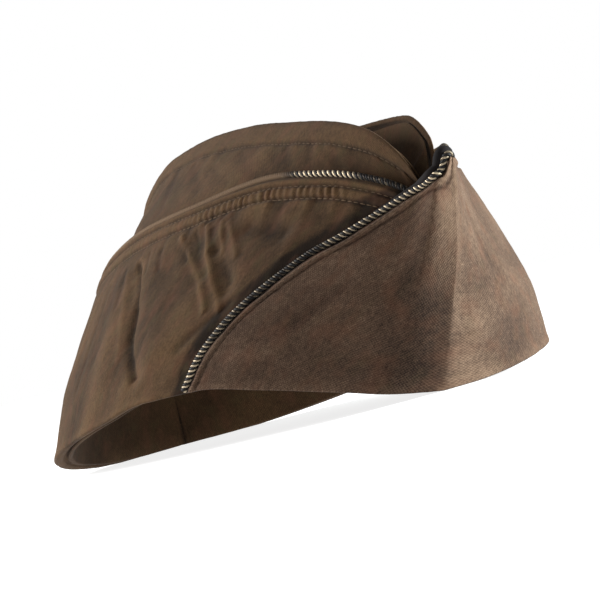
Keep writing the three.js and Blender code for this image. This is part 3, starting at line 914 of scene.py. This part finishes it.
def over_edge(point_at, turn):
    """Middle of the cord past an upper edge, along the cloth's own slope."""
    top = point_at(turn, 1.0, CURTAIN_CLOTH / 2)
    along = point_at(turn + 1, 1.0, CURTAIN_CLOTH / 2) - point_at(turn - 1, 1.0, CURTAIN_CLOTH / 2)
    along = unit(along)
    up = top - point_at(turn, 0.95, CURTAIN_CLOTH / 2)
    up = up - along * np.sum(up * along, axis=-1, keepdims=True)
    return top + unit(up) * CORD_REACH


def beside_flap(share):
    """Middle of the cord beside the flap's edge, square to the edge and to the cloth."""

    def at(here, out):
        return left_curtain_point(flap_edge_turn(here), here, out)

    low = np.maximum(share - LEVEL_STEP, 0)
    high = np.minimum(share + LEVEL_STEP, 1)
    along = at(high, CURTAIN_CLOTH) - at(low, CURTAIN_CLOTH)
    through = at(share, CURTAIN_CLOTH) - at(share, 0)
    away = unit(np.cross(through, along))
    return at(share, CURTAIN_CLOTH / 2) + away * CORD_REACH


def right_cord_route():
    return over_edge(right_curtain_point, np.concatenate([np.linspace(18, 164, 70), [167, 170]]))


def left_cord_route():
    rear_turns = np.concatenate([[-170, -167], np.linspace(-164, -16, 60), [-13, -10]])
    behind = over_edge(left_curtain_point, rear_turns)
    peak_turns = np.array([-6, -3, 0, flap_edge_turn(1.0) - 0.5])
    peak = left_curtain_point(peak_turns, 1.0, CURTAIN_CLOTH / 2) + np.array([0, 0, CORD_REACH + 0.35])
    side = beside_flap(np.concatenate([[1, 0.98], np.linspace(0.96, 0.03, 44), [0.0]]))
    return np.concatenate([behind, peak, side])


def twisted(route, phase, radius):
    normal, binormal = frames(route)
    angle = 2 * np.pi * (run_along(route, 0) / CORD_LAY + phase)
    reach = PIPING_RADIUS + 0.04 - radius
    return route + reach * (np.cos(angle)[:, None] * normal + np.sin(angle)[:, None] * binormal)


def right_painted_glints(route):
    """Painted glints on the stretch of wire beside the flap, none further back."""
    back = route[:, 1]
    return smoothstep(back, -119, -114) * (1 - smoothstep(back, -99, -92))


def painted_dull_stretch(route, side):
    """Behind the front each cord, on its own side of the cap, is drawn as plain dull tan instead of metal:
    painted shade for its dim reflection there.
    """
    return smoothstep(route[:, 1], -96, -86) * (route[:, 0] * side > 0)


def left_painted_glints(route):
    """Painted glints near the peak and at the rim, in patches between them."""
    run = run_along(route, 0)
    patches = 0.5 + 0.5 * lumps(run, 0 * run, 16, 60, 81)
    ends = np.maximum(groove(route[:, 2] - 62, 6), groove(route[:, 2] - 22, 10))
    return np.clip(0.32 * patches + 0.45 * ends * (route[:, 0] < 0), 0, 1)


def piping(name, route, side, painted_glint, bright, dark):
    route = resampled(route, STRAND_STEP)
    # Painted glints, and painted dullness where the cord stands in for its dim reflection.
    glint_grid = np.tile(painted_glint(route), STRAND_SIDES)
    painted_dull = np.tile(painted_dull_stretch(route, side), STRAND_SIDES)
    pieces = []
    for label, material, first, radius in (
        ("bright", bright, 0, BRIGHT_RADIUS),
        ("dark", dark, 1, DARK_RADIUS),
    ):
        strands = [twisted(route, k / STRANDS, radius) for k in range(first, STRANDS, 2)]
        points, faces, runs = tubes(strands, radius, STRAND_SIDES)
        uv = np.stack([runs, np.zeros(len(runs))], axis=-1) * MM
        floats = {"painted_glint": np.tile(glint_grid, len(strands)), "painted_dull": np.tile(painted_dull, len(strands))}
        pieces.append(
            new_mesh(f"{name}_{label}_strands", points, faces, material, floats, uv)
        )
    for piece in pieces:
        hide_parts(name)


PEAK_ROLL_START = -16  # stretch of the piping that the roll follows, by its run from the peak
PEAK_ROLL_END = 34
PEAK_ROLL_STEP = 0.8
PEAK_ROLL_SIDES = 14
PEAK_ROLL_THIN = 0.75  # its radius at both ends
PEAK_ROLL_RADIUS = 2.0
PEAK_ROLL_SHIFT = np.array([-0.2, 2.2, 1.0])  # from the piping's middle to the roll's


def peak_roll(material):
    """The cloth's doubled edge inside the piping, thickest where it is folded over the peak. It is near
    black: partly the dark cord seen there, partly painted shade of the pocket beside it.
    """
    route = resampled(left_cord_route(), PEAK_ROLL_STEP)
    peak = np.argmin(route[:, 1])
    run = run_along(route, 0) - run_along(route, 0)[peak]
    kept = (run > PEAK_ROLL_START) & (run < PEAK_ROLL_END)
    route, run = route[kept], run[kept]
    swell = np.where(run < 0, groove(run, 9), groove(run, 15))
    radius = PEAK_ROLL_THIN + (PEAK_ROLL_RADIUS - PEAK_ROLL_THIN) * swell
    radius = radius + 0.12 * lumps(run, 0 * run, 2.6, 60, 83)
    route = route + PEAK_ROLL_SHIFT * (0.45 + 0.55 * swell)[:, None]
    points, faces, _ = tubes([route], radius, PEAK_ROLL_SIDES)
    new_mesh("peak_roll", points, faces, material)


# ---- materials ----


def linear(red, green, blue):
    """A colour given in 8-bit display values, as the shader takes it."""
    values = [c / 255 for c in (red, green, blue)]
    return tuple(c / 12.92 if c <= 0.04045 else ((c + 0.055) / 1.055) ** 2.4 for c in values) + (1.0,)


OLIVE = (linear(26, 18, 11), linear(61, 45, 30), linear(92, 70, 47))
BROWN = (linear(33, 23, 18), linear(69, 53, 42), linear(106, 86, 70))
RUST = linear(86, 57, 42)
MOSS = linear(64, 57, 36)
PUCKER_SHADE = linear(46, 24, 14)
# Colour of the painted dull stretch of cord: painted shade for its dim reflection.
DULL_CORD_TAN = linear(102, 83, 65)


class Shader:
    """A material under construction, with short ways to add and join its nodes."""

    def __init__(self, name):
        self.material = bpy.data.materials.new(name)
        self.material.use_nodes = True
        self.tree = self.material.node_tree
        self.surface = self.tree.nodes["Principled BSDF"]

    def node(self, kind, inputs=None, **settings):
        made = self.tree.nodes.new(kind)
        for key, value in settings.items():
            setattr(made, key, value)
        for key, value in (inputs or {}).items():
            if isinstance(value, bpy.types.NodeSocket):
                self.tree.links.new(value, made.inputs[key])
            else:
                made.inputs[key].default_value = value
        return made

    def sum(self, operation, a, b=0.0, c=0.0):
        return self.node("ShaderNodeMath", {0: a, 1: b, 2: c}, operation=operation).outputs[0]

    def noise(self, vector, scale, detail=2.0, roughness=0.5):
        inputs = {"Vector": vector, "Scale": scale, "Detail": detail, "Roughness": roughness}
        return self.node("ShaderNodeTexNoise", inputs).outputs["Fac"]

    def stretched(self, vector, scale):
        return self.node("ShaderNodeMapping", {"Vector": vector, "Scale": scale}).outputs[0]

    def attribute(self, name):
        return self.node("ShaderNodeAttribute", attribute_name=name).outputs["Fac"]

    def mix(self, share, a, b):
        made = self.node("ShaderNodeMix", data_type="RGBA")
        for socket, value in ((made.inputs[0], share), (made.inputs[6], a), (made.inputs[7], b)):
            if isinstance(value, bpy.types.NodeSocket):
                self.tree.links.new(value, socket)
            else:
                socket.default_value = value
        return made.outputs[2]

    def remap(self, value, low, high, to_low=0.0, to_high=1.0):
        inputs = {"Value": value, "From Min": low, "From Max": high, "To Min": to_low, "To Max": to_high}
        return self.node("ShaderNodeMapRange", inputs).outputs[0]

    def finish(self, colour, bump, strength, distance, **numbers):
        self.tree.links.new(colour, self.surface.inputs["Base Color"])
        inputs = {"Height": bump, "Strength": strength, "Distance": distance}
        raised = self.node("ShaderNodeBump", inputs)
        self.tree.links.new(raised.outputs[0], self.surface.inputs["Normal"])
        for key, value in numbers.items():
            self.surface.inputs[key.replace("_", " ")].default_value = value
        return self.material


def wool(name, dark, middle, light, twill_pitch, twill, mottle, mossiness, streak, bump):
    """Woven wool: twill lines that follow the cloth, uneven yarn, mottling, painted shade in creases, crests
    lighter by wear and painted highlight.
    """
    s = Shader(name)
    on_cloth = s.node("ShaderNodeUVMap", uv_map="cloth").outputs[0]
    in_mm = s.stretched(on_cloth, (1000, 1000, 1000))
    parts = s.node("ShaderNodeSeparateXYZ", {"Vector": in_mm})
    along, up = parts.outputs[0], parts.outputs[1]

    def pattern_of(along, up, detail=2.0, roughness=0.5):
        return s.noise(s.stretched(in_mm, (along, up, 1)), 1.0, detail, roughness)

    waver = pattern_of(0.35, 0.35)
    slanting = s.sum("ADD", s.sum("MULTIPLY_ADD", along, 0.8, s.sum("MULTIPLY", waver, 1.1)), up)
    wale = s.sum("SINE", s.sum("MULTIPLY", slanting, 2 * math.pi / twill_pitch))
    crossing = s.sum("SUBTRACT", along, s.sum("MULTIPLY", up, 0.7))
    yarn = s.sum("SINE", s.sum("MULTIPLY", crossing, 2 * math.pi / (twill_pitch * 0.72)))
    weave = s.sum("MULTIPLY_ADD", wale, 0.32, s.sum("MULTIPLY_ADD", yarn, 0.18, 0.5))
    fuzz = pattern_of(2.2, 1.5, 3.0, 0.7)
    streaks = pattern_of(*streak, 3.0, 0.65)
    clouds = pattern_of(0.045, 0.06)
    tone = s.sum("MULTIPLY_ADD", s.sum("SUBTRACT", weave, 0.5), twill, 0.5)
    for pattern, weight in ((fuzz, 0.9 * mottle), (streaks, 0.8 * mottle), (clouds, 0.30)):
        tone = s.sum("MULTIPLY_ADD", s.sum("SUBTRACT", pattern, 0.5), weight, tone)
    # Painted shade darkens the creases; crests are lighter, partly by wear and partly by painted highlight.
    for place, weight in (("crest", 0.35), ("crease", -0.70)):
        tone = s.sum("MULTIPLY_ADD", s.attribute(place), weight, tone)
    low = s.mix(s.remap(tone, 0.0, 0.5), dark, middle)
    colour = s.mix(s.remap(tone, 0.5, 1.0), low, light)
    colour = s.mix(s.remap(pattern_of(0.16, 0.11), 0.48, 0.72, 0.0, 0.34), colour, RUST)
    colour = s.mix(s.remap(pattern_of(0.21, 0.13), 0.52, 0.74, 0.0, mossiness), colour, MOSS)
    # Painted shade in the valleys of the hem's puckers.
    colour = s.mix(s.attribute("pucker_valley_shade"), colour, PUCKER_SHADE)
    height = s.sum("MULTIPLY_ADD", fuzz, 0.55, weave)
    return s.finish(
        colour, height, bump, 0.16 * MM, Roughness=0.93, Sheen_Weight=0.03, Sheen_Roughness=0.45,
        Specular_IOR_Level=0.08,
    )


def thread(name, dark, light):
    s = Shader(name)
    place = s.node("ShaderNodeTexCoord").outputs["Object"]
    fine = s.noise(place, 2600.0, 2.0)
    patch = s.noise(place, 160.0, 2.0)
    tone = s.sum("MULTIPLY_ADD", patch, 0.6, s.sum("MULTIPLY", fine, 0.5))
    colour = s.mix(s.remap(tone, 0.3, 0.8), dark, light)
    return s.finish(colour, fine, 0.5, 0.05 * MM, Roughness=0.85, Specular_IOR_Level=0.12)


def bullion(name, dark, light, metallic, roughness):
    """Thread wound with fine metal wire: ridges across each strand, some of it tarnished."""
    s = Shader(name)
    on_strand = s.node("ShaderNodeUVMap", uv_map="cloth").outputs[0]
    run = s.node("ShaderNodeSeparateXYZ", {"Vector": on_strand}).outputs[0]
    wire = s.sum("SINE", s.sum("MULTIPLY", run, 2 * math.pi / (0.34 * MM)))
    place = s.node("ShaderNodeTexCoord").outputs["Object"]
    tarnish = s.noise(place, 260.0, 3.0, 0.6)
    grain = s.noise(place, 1500.0, 2.0)
    tone = s.sum("MULTIPLY_ADD", grain, 0.30, s.sum("MULTIPLY", tarnish, 0.8))
    # Painted glints brighten the wire.
    tone = s.sum("MULTIPLY_ADD", s.attribute("painted_glint"), 0.7, tone)
    # Where painted dull, the cord is plain tan and not metal: painted shade for its dim reflection.
    painted_dull = s.attribute("painted_dull")
    colour = s.mix(painted_dull, s.mix(s.remap(tone, 0.55, 1.20), dark, light), DULL_CORD_TAN)
    s.tree.links.new(s.remap(painted_dull, 0.0, 1.0, metallic, 0.0), s.surface.inputs["Metallic"])
    s.tree.links.new(s.remap(painted_dull, 0.0, 1.0, roughness, 0.9), s.surface.inputs["Roughness"])
    height = s.sum("MULTIPLY_ADD", wire, 0.5, grain)
    return s.finish(colour, height, 0.55, 0.05 * MM, Specular_IOR_Level=0.15)


# Twill pitch, twill, mottle, mossiness, streak and bump, as wool takes them.
FINE_WEAVE = (0.80, 0.25, 0.75, 0.30, (0.95, 0.50), 0.45)
COARSE_WEAVE = (1.00, 0.30, 0.95, 0.12, (0.80, 0.45), 0.65)
crown_wool = wool("crown_wool", *OLIVE, *FINE_WEAVE)
curtain_wool = wool("curtain_wool", *OLIVE, *FINE_WEAVE)
flap_wool = wool("flap_wool", *BROWN, *COARSE_WEAVE)
# Near black: partly the dark cord at the peak, partly painted shade of the pocket beside it.
dark_cord_and_shade = thread("dark_cord_and_shade", linear(12, 9, 9), linear(25, 20, 20))
brown_thread = thread("brown_thread", linear(52, 40, 31), linear(84, 68, 54))
dull_thread = thread("dull_thread", linear(58, 45, 33), linear(84, 67, 51))
tan_thread = thread("tan_thread", linear(66, 52, 39), linear(98, 79, 60))
bright_bullion = bullion("bright_bullion", linear(34, 27, 22), linear(196, 178, 150), 0.55, 0.42)
dark_cord = bullion("dark_cord", linear(11, 9, 9), linear(24, 20, 20), 0.0, 0.6)

crown_panel("crown_right_panel", RIGHT, crown_wool)
crown_panel("crown_left_panel", LEFT, crown_wool)
crown_top(crown_wool)
curtain_right(curtain_wool)
curtain_left(flap_wool)
hem_stitches(tan_thread)
flap_stitches(brown_thread)
ridge_stitches(dull_thread)
piping("piping_right", right_cord_route(), RIGHT, right_painted_glints, bright_bullion, dark_cord)
piping("piping_left", left_cord_route(), LEFT, left_painted_glints, bright_bullion, dark_cord)
peak_roll(dark_cord_and_shade)

# ---- floor, light and camera ----

CAMERA_AZIMUTH = -25.4
CAMERA_ELEVATION = 1.5
CAMERA_ROLL = 14.9
CAMERA_DISTANCE = 1.4
PICTURE_WIDTH = 0.197  # what the picture spans at the cap
AIM_ABOVE = 0.0396  # from the rim's middle to the picture's middle, up the picture
RIM_CENTRE = Vector((0, CENTRING[1], 0)) * MM
FLOOR_REACH = 6.0
FLOOR_FINISH = {
    "Base Color": (0.45, 0.45, 0.45, 1), "Roughness": 0.9, "Specular IOR Level": 0.1,
    "Emission Color": (1, 1, 1, 1), "Emission Strength": 0.82,
}
FILL_LIGHT = 0.42  # of what the backdrop shows, how much it gives
LIGHT_AIM = Vector((0, 0, 0.045))


def camera_axes():
    azimuth, elevation = math.radians(CAMERA_AZIMUTH), math.radians(CAMERA_ELEVATION)
    level = math.cos(elevation)
    back = Vector((math.sin(azimuth) * level, -math.cos(azimuth) * level, math.sin(elevation)))
    right = Vector((0, 0, 1)).cross(back).normalized()
    up = back.cross(right)
    return right, up, back


def roll(right, up):
    turned = math.radians(CAMERA_ROLL)
    return (
        right * math.cos(turned) - up * math.sin(turned),
        up * math.cos(turned) + right * math.sin(turned),
    )


def make_camera():
    right, up, back = camera_axes()
    across, upright = roll(right, up)
    target = RIM_CENTRE + upright * AIM_ABOVE
    place = RIM_CENTRE + back * CAMERA_DISTANCE
    away = (place - target).normalized()
    across = upright.cross(away).normalized()
    upright = away.cross(across)
    data = bpy.data.cameras.new("camera")
    data.sensor_width = 36
    data.lens = data.sensor_width * (place - target).length / PICTURE_WIDTH
    camera = add_object("camera", data)
    camera.matrix_world = matrix_from(across, upright, away, place)
    bpy.context.scene.camera = camera


def matrix_from(x, y, z, place):
    return Matrix(((*x, 0), (*y, 0), (*z, 0), (*place, 1))).transposed()


def soft_light(name, direction, distance, size, power, colour):
    """A square light that shines from a direction towards the cap's middle."""
    data = bpy.data.lights.new(name, "AREA")
    data.color = colour
    data.size = size
    data.energy = power
    light = add_object(name, data)
    toward = Vector(direction).normalized()
    light.location = LIGHT_AIM + toward * distance
    light.rotation_mode = "QUATERNION"
    light.rotation_quaternion = toward.to_track_quat("Z", "Y")


def make_floor():
    """A pale round floor that glows a little, as the white sweep of a photo studio does."""
    sides = 96
    angles = [2 * math.pi * k / sides for k in range(sides)]
    corners = [(FLOOR_REACH * math.cos(a), FLOOR_REACH * math.sin(a), 0) for a in angles]
    mesh = bpy.data.meshes.new("floor")
    mesh.from_pydata(corners, [], [tuple(range(sides))])
    s = Shader("pale_floor")
    for key, value in FLOOR_FINISH.items():
        s.surface.inputs[key].default_value = value
    mesh.materials.append(s.material)
    floor = add_object("floor", mesh)


def make_world():
    """A white backdrop that gives less light than it shows, so that the folds keep their shade."""
    world = bpy.data.worlds.new("studio")
    world.use_nodes = True
    tree = world.node_tree
    background = tree.nodes["Background"]
    background.inputs["Color"].default_value = (1, 1, 1, 1)
    path = tree.nodes.new("ShaderNodeLightPath")
    shown = tree.nodes.new("ShaderNodeMapRange")
    shown.inputs["To Min"].default_value = FILL_LIGHT
    shown.inputs["To Max"].default_value = 1.0
    tree.links.new(path.outputs["Is Camera Ray"], shown.inputs["Value"])
    tree.links.new(shown.outputs[0], background.inputs["Strength"])
    bpy.context.scene.world = world


make_floor()
make_world()
soft_light("key_light", (0.82, -0.54, 0.18), distance=1.3, size=0.45, power=65, colour=(0.92, 1.0, 1.01))
soft_light("rear_light", (-0.68, 0.60, 0.40), distance=1.5, size=0.6, power=42, colour=(1.0, 1.0, 1.0))
bpy.context.scene.view_settings.view_transform = "Standard"
make_camera()
